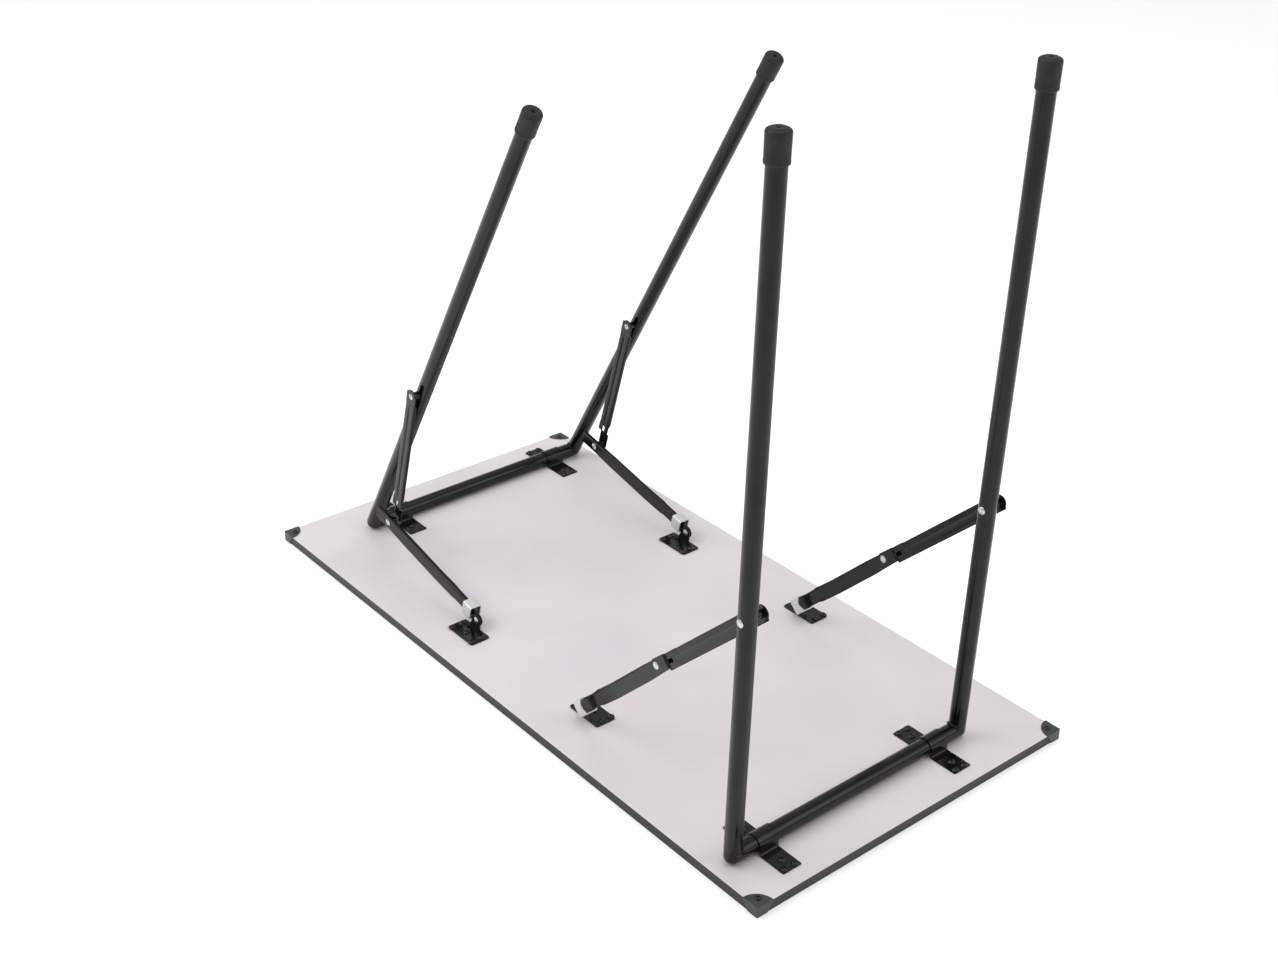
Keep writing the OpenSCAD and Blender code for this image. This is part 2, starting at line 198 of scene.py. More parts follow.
def cornerFinish():
    finish = Finish("corner_plastic", IOR=1.46)
    tone = finish.noise(45, 4)
    rubbed = finish.step(finish.noise(260, 4, 0.7), 0.58, 0.74)
    colour = finish.blend(finish.step(tone, 0.3, 0.7), shade(50, 55, 55), shade(60, 65, 65))
    finish.colour(finish.blend(rubbed * 0.25, colour, shade(92, 98, 96)))
    finish.dull(0.44 + rubbed * 0.12)
    finish.relief(finish.noise(2600, 2) + tone * 0.4, 0.0001, 0.4)
    return finish.material


def rubberFinish():
    finish = Finish("foot_rubber", IOR=1.4)
    dusty = finish.step(finish.noise(120, 5, 0.65), 0.46, 0.72)
    # the tread discs are the highest parts of the table, and they pick up floor dust
    finish.colour(finish.blend(dusty * 0.2, shade(26, 26, 24), shade(80, 76, 66)))
    finish.dull(0.5 + dusty * 0.2)
    finish.relief(finish.noise(1500, 3), 0.00015, 0.45)
    return finish.material


def zincFinish():
    finish = Finish("zinc", Metallic=0.85, IOR=1.8)
    spangle = finish.cells(380)
    drawn = finish.noise(300, 3, 0.6, finish.stretched(1, 8, 1))
    finish.colour(finish.blend(finish.step(spangle, 0, 0.6), shade(206, 208, 204), shade(224, 226, 222)))
    finish.dull(0.4 + drawn * 0.12 + spangle * 0.1)
    finish.relief(drawn, 0.00008, 0.3)
    return finish.material


def rivetFinish():
    finish = Finish("rivets", Metallic=1.0)
    worn = finish.noise(700, 4, 0.6)
    finish.colour(finish.blend(finish.step(worn, 0.35, 0.7), shade(214, 222, 220), shade(176, 186, 186)))
    finish.dull(0.22 + worn * 0.14)
    finish.relief(worn, 0.00006, 0.35)
    return finish.material


def screwFinish():
    finish = Finish("screws", Metallic=0.4, IOR=1.5)
    worn = finish.step(finish.noise(900, 3), 0.55, 0.75)
    finish.colour(finish.blend(worn * 0.3, shade(31, 32, 31), shade(84, 86, 84)))
    finish.dull(0.24 + worn * 0.16)
    finish.relief(finish.noise(1500, 2), 0.00005, 0.3)
    return finish.material


def coreFinish():
    finish = Finish("core", IOR=1.4)
    chips = finish.cells(260, finish.stretched(1, 0.5, 3))
    finish.colour(finish.blend(finish.step(chips, 0.1, 0.7), shade(196, 168, 124), shade(150, 118, 78)))
    finish.dull(0.85 - chips * 0.1)
    finish.relief(chips, 0.0003, 0.6)
    return finish.material


finishes = {
    "laminate": laminateFinish(),
    "painted_steel": paintFinish(),
    "edge_band": bandFinish(),
    "corner_plastic": cornerFinish(),
    "foot_rubber": rubberFinish(),
    "zinc": zincFinish(),
    "rivets": rivetFinish(),
    "screws": screwFinish(),
    "core": coreFinish(),
}
for row in frame["record"]["subparts"]:
    for materialSlot in frame["nodes"][row["node"]].material_slots:
        materialSlot.material = finishes[row["material_slot"]]
print("finishes made:", len(finishes))


# mesh work, in millimetres and in each piece's own place
meshing = {"merge": 0.002, "bevelFrom": 35, "bevelSteps": 2, "sharpFrom": 40}


def meshFrom(name, points, faces):
    mesh = bpy.data.meshes.new(name)
    mesh.from_pydata([tuple(point) for point in points], [], faces)
    work = bmesh.new()
    work.from_mesh(mesh)
    bmesh.ops.remove_doubles(work, verts=work.verts, dist=meshing["merge"])
    bmesh.ops.recalc_face_normals(work, faces=work.faces)
    work.to_mesh(mesh)
    work.free()
    return mesh


def bridges(loops, closed):
    # the faces between each loop of points and the next
    count = len(loops[0])
    faces = []
    for i in range(len(loops) if closed else len(loops) - 1):
        here, there = i * count, (i + 1) % len(loops) * count
        for k in range(count):
            after = (k + 1) % count
            faces.append((here + k, here + after, there + after, there + k))
    return faces


def allPoints(loops):
    return [point for loop in loops for point in loop]


def loft(name, loops):
    # a closed solid through equal loops of points
    count = len(loops[0])
    faces = bridges(loops, False)
    faces.append(tuple(range(count)))
    faces.append(tuple(range((len(loops) - 1) * count, len(loops) * count)))
    return meshFrom(name, allPoints(loops), faces)


def ringSolid(name, loops):
    # a solid that closes on itself, like a frame or a sleeve
    return meshFrom(name, allPoints(loops), bridges(loops, True))


def fullTurn(steps):
    return [2 * math.pi * k / steps for k in range(steps)]


def turned(name, profile, steps):
    # a solid of revolution about Z, from (radius, height) points that start and end on the axis
    loops = []
    for radius, height in profile:
        loops.append([(radius * math.cos(a), radius * math.sin(a), height) for a in fullTurn(steps)])
    return loft(name, loops)


def pressed(name, outline, low, high):
    # a flat plate from an outline in x and y
    return loft(name, [[(x, y, z) for x, y in outline] for z in (low, high)])


def arc(cx, cy, radius, start, stop, steps=8):
    turn = (stop - start) / steps
    angles = [math.radians(start + turn * k) for k in range(steps + 1)]
    return [(cx + radius * math.cos(a), cy + radius * math.sin(a)) for a in angles]


def roundedOutline(length, width, radius, steps=8):
    outline = []
    for sx, sy, start in ((1, 1, 0), (-1, 1, 90), (-1, -1, 180), (1, -1, 270)):
        cx, cy = sx * (length / 2 - radius), sy * (width / 2 - radius)
        outline += arc(cx, cy, radius, start, start + 90, steps)
    return outline


def carved(mesh, tools, operation="DIFFERENCE"):
    # mesh with each tool cut away or joined on
    collection = bpy.context.scene.collection
    base = bpy.data.objects.new("carved", mesh)
    collection.objects.link(base)
    used = [base]
    for tool in tools:
        cutter = bpy.data.objects.new("tool", tool)
        collection.objects.link(cutter)
        used.append(cutter)
        cut = base.modifiers.new("cut", "BOOLEAN")
        cut.operation = operation
        cut.object = cutter
        cut.solver = "EXACT"
    graph = bpy.context.evaluated_depsgraph_get()
    result = bpy.data.meshes.new_from_object(base.evaluated_get(graph))
    for done in used:
        bpy.data.objects.remove(done)
    return result


def gathered(name, parts):
    # one mesh out of several meshes, each at its own place
    work = bmesh.new()
    for mesh, place in parts:
        part = mesh.copy()
        part.transform(place)
        if place.determinant() < 0:
            part.flip_normals()
        work.from_mesh(part)
        bpy.data.meshes.remove(part)
    mesh = bpy.data.meshes.new(name)
    work.to_mesh(mesh)
    work.free()
    return mesh


def at(x, y, z):
    return Matrix.Translation((x, y, z))


def facing(direction):
    # turns local Z to face a direction
    return Vector((0, 0, 1)).rotation_difference(Vector(direction)).to_matrix().to_4x4()


def placed(origin, across, up):
    # a place in the row frame: local Y goes across, local Z goes up, sizes come in millimetres
    z = Vector(up).normalized()
    y = Vector(across).normalized()
    x = y.cross(z)
    place = Matrix((x, y, z)).transposed().to_4x4()
    place.translation = Vector(origin)
    return place @ Matrix.Scale(mm, 4)


def addPiece(name, parts, body, slotName, nodes, rounding=0.3):
    # parts are (mesh, place) pairs; rounding is the radius of the sharp edges in millimetres
    piece = bpy.data.objects.new(name, gathered(name, parts))
    bpy.context.scene.collection.objects.link(piece)
    piece.data.materials.append(finishes[slotName])
    for polygon in piece.data.polygons:
        polygon.use_smooth = True
    if rounding:
        edges = piece.modifiers.new("rounded_edges", "BEVEL")
        edges.width = rounding * mm
        edges.segments = meshing["bevelSteps"]
        edges.limit_method = "ANGLE"
        edges.angle_limit = math.radians(meshing["bevelFrom"])
        edges.harden_normals = True
        edges.miter_outer = "MITER_ARC"
    else:
        piece.data.set_sharp_from_angle(angle=math.radians(meshing["sharpFrom"]))
    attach(piece, body)
    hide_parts(*nodes)
    return piece


# places from the frame
def jointAt(name):
    return Vector(joints[name]["pos_m"])


def outward(end):
    # from a leg's axis to the brace beside it
    return Vector((0, ends[end], 0))


def legPlace(end, row):
    pivot = jointAt(f"{end}_{row}_upper_link_pivot")
    foot = jointAt(f"{end}_leg_fold")
    foot.y = pivot.y
    return placed(foot, outward(end), pivot - foot)


def kneeAt(end, row):
    low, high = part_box(f"{end}_{row}_lower_knee_rivet")
    return (low + high) / 2


def linkPlace(origin, end, row):
    # local X runs from the origin to the knee, local Y from the leg to the brace
    origin = Vector(origin)
    along = kneeAt(end, row) - origin
    along.y = 0
    return placed(origin, outward(end), along.cross(outward(end)))


def lowerLinkPlace(end, row):
    return linkPlace(jointAt(f"{end}_{row}_lower_link_pivot"), end, row)


def upperLinkPlace(end, row):
    return linkPlace(jointAt(f"{end}_{row}_upper_link_pivot"), end, row)


def onBoard(end, x, y, z):
    # a place that is turned half a turn at the left end
    return placed((x, y, z), outward(end), (0, 0, 1))


def apart(first, second):
    # the distance seen from the side, in millimetres
    return (Vector((first.x, 0, first.z)) - Vector((second.x, 0, second.z))).length / mm


boardLow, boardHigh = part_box("underside_laminate")
boardTop = boardHigh.z
print("places read from the frame")


# board
board = {"cornerRadius": 4, "bandWidth": 1.5, "bandProud": 0.12, "bandBelow": 0.08, "bandEdge": 0.05}


def addEdgeBand():
    # the strip stands a little proud, so that it also covers the edge of the laminate
    low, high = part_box("edge_band")
    high.z = boardTop - board["bandBelow"] * mm
    length = (high.x - low.x) / mm + 2 * board["bandProud"]
    width = (high.y - low.y) / mm + 2 * board["bandProud"]
    radius = board["cornerRadius"] + board["bandProud"]
    outer = roundedOutline(length, width, radius)
    thick = board["bandWidth"] + board["bandProud"]
    inner = roundedOutline(length - 2 * thick, width - 2 * thick, radius - thick)
    loops = []
    bottom, top = low.z / mm, high.z / mm
    for (x, y), (u, v) in zip(outer, inner):
        loops.append([(x, y, bottom), (x, y, top), (u, v, top), (u, v, bottom)])
    parts = [(ringSolid("edge_band", loops), Matrix.Scale(mm, 4))]
    addPiece("edge_band_strip", parts, "board", "edge_band", ["edge_band"], board["bandEdge"])


addEdgeBand()


# screws
crossScrew = {
    "shankRadius": 1.6, "shank": 6, "tip": 1.2, "rim": 0.35, "domeSteps": 8, "steps": 32, "edge": 0.1,
    "crossReach": 0.5, "crossWidth": 0.17, "crossDepth": 1.3,
}


def screwMesh(headRadius, dome):
    rim, shankRadius, shank = crossScrew["rim"], crossScrew["shankRadius"], crossScrew["shank"]
    rise = dome - rim
    ball = (headRadius ** 2 + rise ** 2) / (2 * rise)
    profile = [(0, -shank), (shankRadius * 0.55, -shank), (shankRadius, -shank + crossScrew["tip"])]
    profile += [(shankRadius, 0), (headRadius - 0.25, 0), (headRadius, 0.2), (headRadius, rim)]
    for k in range(1, crossScrew["domeSteps"] + 1):
        radius = headRadius * (1 - k / crossScrew["domeSteps"])
        profile.append((radius, rim + math.sqrt(ball ** 2 - radius ** 2) - (ball - rise)))
    screw = turned("screw", profile, crossScrew["steps"])
    # a cross recess that narrows towards its foot
    reach = headRadius * crossScrew["crossReach"]
    half = headRadius * crossScrew["crossWidth"] / 2 + 0.12
    low = dome - crossScrew["crossDepth"]
    head = [(-reach, -half), (reach, -half), (reach, half), (-reach, half)]
    foot = [(x * 0.7, y * 0.6) for x, y in head]
    slots = []
    for turn in (0, 90):
        slot = loft("slot", [[(x, y, low) for x, y in foot], [(x, y, dome + 0.2) for x, y in head]])
        slot.transform(Matrix.Rotation(math.radians(turn), 4, "Z"))
        slots.append(slot)
    return carved(screw, slots)


def screwPlaces(places):
    # each cross stands at its own angle
    return [place @ Matrix.Rotation(random.uniform(0, math.pi), 4, "Z") for place in places]


# corner protectors
protector = {
    "flap": 21, "foot": 13, "wall": 1, "corner": 1.6, "screwIn": 9.5, "edge": 0.35, "screwHead": (4, 2.4),
}


def protectorMesh(thickness):
    # the board's corner is at the origin and the board lies towards -X and -Y
    wall, flap, foot = protector["wall"], protector["flap"], protector["foot"]
    radius = protector["corner"]
    back = wall - flap
    top = thickness + wall
    square = [(back, back), (wall, back)]
    square += arc(wall - radius, wall - radius, radius, 0, 90, 6) + [(back, wall)]
    walls = pressed("walls", square, 0, top)
    room = [(0, 0), (0, -2 * flap), (-2 * flap, -2 * flap), (-2 * flap, 0)]
    inside = pressed("room", room, -1, thickness)
    beyond = [(wall + 1, back - 1)] + arc(wall, wall, flap, 270, 180, 24)
    beyond += [(back - 1, wall + 1), (back - 2, back - 2)]
    trim = pressed("trim", beyond, thickness - 0.001, top + 1)
    slants = []
    wedge = [(back - 1, -1), (wall - foot, -1), (back, thickness), (back - 1, thickness)]
    for swap in (False, True):
        loops = []
        for reach in (wall + 1, -2 * flap):
            loops.append([(reach, a, z) if swap else (a, reach, z) for a, z in wedge])
        slants.append(loft("slant", loops))
    return carved(walls, [inside, trim] + slants)


def addProtectors():
    thickness = boardTop / mm
    mesh = protectorMesh(thickness)
    screw = screwMesh(*protector["screwHead"])
    screwSpots = []
    for rowName, sy in (("near", -1), ("far", 1)):
        for endName, sx in ends.items():
            corner = Vector((boardHigh.x * sx, boardHigh.y * sy, 0))
            place = at(*corner) @ Matrix.Diagonal((sx * mm, sy * mm, mm, 1))
            node = f"{rowName}_{endName}_corner_protector"
            addPiece(f"{node}_shell", [(mesh, place)], "board", "corner_plastic", [node], protector["edge"])
            inset = protector["screwIn"] * mm
            spot = at(corner.x - sx * inset, corner.y - sy * inset, (thickness + protector["wall"]) * mm)
            screwSpots.append(spot @ Matrix.Scale(mm, 4))
    parts = [(screw, place) for place in screwPlaces(screwSpots)]
    addPiece("corner_cross_screws", parts, "board", "screws", ["corner_screws"], crossScrew["edge"])


addProtectors()
print("board, protectors and their screws made")


# saddles
saddle = {
    "length": 90, "width": 25, "sheet": 1.3, "cornerRadius": 1.5, "foot": 3.2, "crown": 9.56, "axis": 10,
    "screwHead": (4.4, 2.6),
    "holes": [(-41, -7), (-41, 7), (-29, 0), (29, 0), (41, -7), (41, 7)],
}


def saddleLine():
    # middle line of the strap in x and z, from one flange end to the other
    middle = saddle["sheet"] / 2
    crown = saddle["crown"] + middle
    bend = saddle["foot"]
    half = saddle["length"] / 2
    rounded = saddle["cornerRadius"]
    line = [(-half + rounded * (1 - math.cos(math.radians(a))), middle) for a in range(0, 91, 15)]
    line += arc(-crown - bend, middle + bend, bend, 270, 360, 8)
    line += arc(0, saddle["axis"], crown, 180, 90, 16)
    return line + [(-x, z) for x, z in reversed(line[:-1])]


def saddleMesh():
    line = saddleLine()
    half = saddle["width"] / 2
    rounded = saddle["cornerRadius"]
    thick = saddle["sheet"] / 2
    loops = []
    for i, (x, z) in enumerate(line):
        before, after = line[max(i - 1, 0)], line[min(i + 1, len(line) - 1)]
        along = Vector((after[0] - before[0], after[1] - before[1])).normalized()
        normal = (-along.y * thick, along.x * thick)
        fromEnd = min(saddle["length"] / 2 - abs(x), rounded)
        wide = half - rounded + math.sqrt(max(rounded ** 2 - (rounded - fromEnd) ** 2, 0))
        loops.append([(x + normal[0], -wide, z + normal[1]), (x + normal[0], wide, z + normal[1]),
                      (x - normal[0], wide, z - normal[1]), (x - normal[0], -wide, z - normal[1])])
    return loft("saddle", loops)


def addSaddles():
    mesh = saddleMesh()
    screw = screwMesh(*saddle["screwHead"])
    spots = []
    for end in ends:
        for row in rows:
            low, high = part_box(f"{end}_{row}_saddle")
            place = onBoard(end, (low.x + high.x) / 2, (low.y + high.y) / 2, boardTop)
            addPiece(f"{end}_{row}_saddle_strap", [(mesh, place)], "board", "painted_steel",
                     [f"{end}_{row}_saddle"])
            spots += [place @ at(x, y, saddle["sheet"]) for x, y in saddle["holes"]]
    parts = [(screw, place) for place in screwPlaces(spots)]
    addPiece("saddle_cross_screws", parts, "board", "screws", ["saddle_screws"], crossScrew["edge"])


addSaddles()
print("saddles made")


# brackets
bracket = {
    "length": 50, "width": 26, "plate": 2, "cornerRadius": 2.5, "ear": 1.8, "earRadius": 7.6,
    "screwHead": (4.3, 2.5), "earFace": 33.1,
    "holes": [(-20, 9.2), (20, 9.2), (0, 16.2), (-20, 23.2), (20, 23.2)],
}


def bracketMesh(height):
    outline = roundedOutline(bracket["length"], bracket["width"], bracket["cornerRadius"])
    plate = pressed("plate", outline, 0, bracket["plate"])
    plate.transform(at(0, bracket["width"] / 2, 0))
    outline = [(-5.4, 0.6), (-5.4, bracket["plate"])]
    outline += arc(0, height, bracket["earRadius"], 191, -11, 24)
    outline += [(13, bracket["plate"] + 1.5), (13, 0.6)]
    ear = loft("ear", [[(x, y, z) for x, z in outline] for y in (0.02, bracket["ear"])])
    return carved(plate, [ear], "UNION")


def addBrackets():
    screw = screwMesh(*bracket["screwHead"])
    spots = []
    mesh = None
    for end in ends:
        for row in rows:
            low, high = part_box(f"{end}_{row}_bracket")
            pivot = jointAt(f"{end}_{row}_lower_link_pivot")
            if mesh is None:
                mesh = bracketMesh((pivot.z - boardTop) / mm)
            earSide = low.y if end == "right" else high.y
            place = onBoard(end, pivot.x, earSide, boardTop)
            addPiece(f"{end}_{row}_bracket_plate", [(mesh, place)], "board", "painted_steel",
                     [f"{end}_{row}_bracket"])
            spots += [place @ at(x, y, bracket["plate"]) for x, y in bracket["holes"]]
    parts = [(screw, place) for place in screwPlaces(spots)]
    addPiece("bracket_cross_screws", parts, "board", "screws", ["bracket_screws"], crossScrew["edge"])


addBrackets()
print("brackets made")


# leg frames
tube = {"radius": 9.5, "length": 743, "capEnd": 5, "stub": 11.5, "steps": 64}
weld = {"bead": 1.75, "spacing": 9, "voxel": 0.28}


def legMesh(barSide):
    # tube along Z with a mitred elbow at the origin and a stub towards the crossbar
    radius = tube["radius"]
    angles = fullTurn(tube["steps"])
    loops = [[(radius * math.sin(a), barSide * radius * math.cos(a), tube["length"] - tube["capEnd"])
              for a in angles]]
    for turn in range(0, 91, 10):
        t = math.radians(turn)
        ring = []
        for a in angles:
            inner = radius * math.cos(a)
            if inner > 0:
                ring.append((radius * math.sin(a), barSide * inner, inner))
            else:
                ring.append((radius * math.sin(a), barSide * inner * math.cos(t), inner * math.sin(t)))
        loops.append(ring)
    loops.append([(radius * math.sin(a), barSide * tube["stub"], radius * math.cos(a)) for a in angles])
    return loft("leg", loops)


def weldMesh(barSide):
    # overlapping drops of weld metal along the inside of the mitre, melted together
    radius = tube["radius"]
    drops = bmesh.new()
    for turn in range(-54, 55, weld["spacing"]):
        a = math.radians(turn + random.uniform(-2, 2))
        inner = radius * math.cos(a)
        size = weld["bead"] * random.uniform(0.75, 1.15)
        spot = at(radius * math.sin(a), barSide * (inner + 0.3), inner + 0.3)
        squash = Matrix.Diagonal((random.uniform(0.8, 1.2), 1, random.uniform(0.8, 1.2), 1))
        bmesh.ops.create_icosphere(drops, subdivisions=2, radius=size, matrix=spot @ squash)
    mesh = bpy.data.meshes.new("drops")
    drops.to_mesh(mesh)
    drops.free()
    melted = bpy.data.objects.new("drops", mesh)
    bpy.context.scene.collection.objects.link(melted)
    remesh = melted.modifiers.new("melt", "REMESH")
    remesh.mode = "VOXEL"
    remesh.voxel_size = weld["voxel"]
    smooth = melted.modifiers.new("smooth", "SMOOTH")
    smooth.iterations = 4
    graph = bpy.context.evaluated_depsgraph_get()
    result = bpy.data.meshes.new_from_object(melted.evaluated_get(graph))
    bpy.data.objects.remove(melted)
    return result


cap = {"length": 30, "radius": 11.3, "edge": 3, "end": 5}


def capMesh():
    radius, length, edge = cap["radius"], cap["length"], cap["edge"]
    inside = tube["radius"] + 0.02
    profile = [(0, length - cap["end"]), (inside, length - cap["end"]), (inside, 0)]
    profile += [(radius - 0.9, 0), (radius - 0.15, 0.7), (radius, 1.8), (radius, 3.4)]
    profile += [(radius - 0.16, 4.0), (radius - 0.12, 12)]
    profile += arc(radius - edge, length - edge - 0.8, edge, 0, 78, 8)
    profile += [(7.9, length - 0.72), (7.6, length - 0.3), (7.2, length), (2.7, length), (2.4, length - 0.2)]
    profile += [(1.7, length - 2.2), (0, length - 2.4)]
    return turned("foot_cap", profile, 72)


def domedHead(radius, rise, hollow=0.0):
    # a rivet head on the plane z = 0, with a round pit if it is the hollow end
    ball = (radius ** 2 + rise ** 2) / (2 * rise)
    profile = [(0, -0.2), (radius * 0.96, -0.2), (radius, 0.1)]
    for k in range(1, 10):
        r = radius * (1 - k / 9) if not hollow else radius - (radius - hollow) * k / 9
        profile.append((r, 0.1 + math.sqrt(ball ** 2 - r ** 2) - (ball - rise)))
    if hollow:
        profile += [(hollow * 0.8, rise * 0.5), (hollow * 0.7, -0.1), (0, -0.1)]
    return turned("rivet_head", profile, 40)


rivet = {
    "shank": 2.5, "head": 4.4, "rise": 1.5, "tail": 3.8, "tailRise": 1.1, "pit": 1.3,
    "sunk": 0.12, "edge": 0.12,
}
# the spacer holds the upper link off the leg, and the tail is on the link's face
legSpacer = {"radius": 4.3, "start": 9, "stop": 17.1, "linkFace": 18.75, "steps": 32}


def shankMesh(low, high):
    return turned("shank", [(0, low), (rivet["shank"], low), (rivet["shank"], high), (0, high)], 24)


def spacerMesh(radius, low, high):
    return turned("spacer", [(0, low), (radius, low), (radius, high), (0, high)], legSpacer["steps"])


def addLegFrame(end):
    body = f"{end}_leg_frame"
    bar = jointAt(f"{end}_leg_fold")
    legPlaces = {row: legPlace(end, row) for row in rows}
    beads, rivets = [], []
    linkFace = legSpacer["linkFace"]
    spacer = spacerMesh(legSpacer["radius"], legSpacer["start"], legSpacer["stop"])
    for row, place in legPlaces.items():
        barSide = 1 if (bar - place.translation).dot(outward(end)) > 0 else -1
        pivot = (jointAt(f"{end}_{row}_upper_link_pivot") - place.translation).length / mm
        parts = [(legMesh(barSide), place), (spacer, place @ at(0, 0, pivot) @ facing((0, 1, 0)))]
        addPiece(f"{end}_{row}_leg_tube", parts, body, "painted_steel", [f"{end}_{row}_leg"], 0)
        capPlace = place @ at(0, 0, tube["length"] - cap["length"])
        addPiece(f"{end}_{row}_rubber_foot", [(capMesh(), capPlace)], body, "foot_rubber",
                 [f"{end}_{row}_foot_cap"], 0)
        beads.append((weldMesh(barSide), place))
        head = place @ at(0, -tube["radius"] + rivet["sunk"], pivot) @ facing((0, -1, 0))
        tail = place @ at(0, linkFace, pivot) @ facing((0, 1, 0))
        rivets.append((domedHead(rivet["head"], rivet["rise"]), head))
        rivets.append((domedHead(rivet["tail"], rivet["tailRise"], rivet["pit"]), tail))
        shank = shankMesh(-linkFace, tube["radius"] - 0.1)
        rivets.append((shank, head @ at(0, 0, -tube["radius"])))
    addPiece(f"{end}_elbow_welds", beads, body, "painted_steel", [f"{end}_weld_beads"], 0)
    addPiece(f"{end}_leg_pivot_rivets", rivets, body, "rivets", [f"{end}_leg_rivets"], rivet["edge"])
    between = abs(legPlaces["near"].translation.y - legPlaces["far"].translation.y) / mm
    reach = between / 2 - tube["stub"]
    radius = tube["radius"]
    loops = []
    for y in (-reach, 0, reach):
        loops.append([(radius * math.sin(a), y, radius * math.cos(a)) for a in fullTurn(tube["steps"])])
    barPlace = legPlaces["near"].copy()
    barPlace.translation = bar
    addPiece(f"{end}_crossbar_tube", [(loft("crossbar", loops), barPlace)], body, "painted_steel",
             [f"{end}_crossbar"], 0)


for end in ends:
    addLegFrame(end)
print("leg frames made")


# brace links
upper = {
    "width": 18, "sheet": 1.3, "near": 14.6, "far": 18.6, "bend": 1.9, "flangeStart": 10, "flangeStop": 32,
    "ribWidth": 5.2, "ribDepth": 1.0, "ribStart": 18, "ribStop": 40, "flangeCurve": 7,
    "heel": 4.2, "kneeRadius": 7.5, "kneeLift": 2.8, "joggleAt": 19, "joggle": 2,
    "window": (20, 30.5, -1.6, 3.2), "edge": 0.25,
}
lower = {
    "width": 16, "wide": 18.2, "sheet": 1.3, "near": 25.4, "far": 30.4, "bend": 1.9, "flangeStart": 17,
    "tip": 26, "endRadius": 7.7, "flangeCurve": 5, "drop": 1.4, "tipDrop": 1.2, "collarStop": 48, "taper": 40,
    "swellOver": 8, "gap": 0.3, "spacerRadius": 4.5, "edge": 0.25,
}


def channelLoop(x, halfWidth, depth, link, sink, centre=0.0, joggle=0.0):
    # one cross-section of a pressed channel; sink gives how far the web is pressed in at a height z
    # the section stands at the centre height, and the joggle sets it back towards the leg
    sheet, face = link["sheet"], link["far"]
    edge = face - depth
    bend = min(link["bend"], max(depth - sheet, 0) * 0.5 + 0.25, halfWidth * 0.4)
    inBend = max(bend - sheet, 0.12)
    share = [-1, -0.72, -0.55, -0.44, -0.36, -0.29, -0.22, -0.12, 0]
    share += [-s for s in reversed(share[:-1])]
    outer = [(edge, -halfWidth)]
    outer += [(face - bend + dy, -halfWidth + bend - dz) for dy, dz in arc(0, 0, bend, 90, 0, 4)]
    for s in share[1:-1]:
        z = s * (halfWidth - bend)
        outer.append((face - sink(x, z), z))
    outer += [(face - bend + dy, halfWidth - bend + dz) for dy, dz in arc(0, 0, bend, 0, 90, 4)]
    outer += [(edge, halfWidth)]
    inHalf = max(halfWidth - sheet, halfWidth * 0.3)
    inFace = face - sheet
    inner = [(min(edge, inFace - inBend - 0.01), inHalf)]
    inner += [(inFace - inBend + dy, inHalf - inBend + dz) for dy, dz in arc(0, 0, inBend, 90, 0, 3)]
    for s in reversed(share[1:-1]):
        z = s * (inHalf - inBend)
        inner.append((inFace - sink(x, z), z))
    inner += [(inFace - inBend + dy, -inHalf + inBend - dz) for dy, dz in arc(0, 0, inBend, 0, 90, 3)]
    inner += [(min(edge, inFace - inBend - 0.01), -inHalf)]
    return [(x, y - joggle, z + centre) for y, z in outer + inner]


def roundEnd(x, centre, radius):
    return math.sqrt(max(radius ** 2 - (x - centre) ** 2, 0.0)) if abs(x - centre) < radius else 0.0


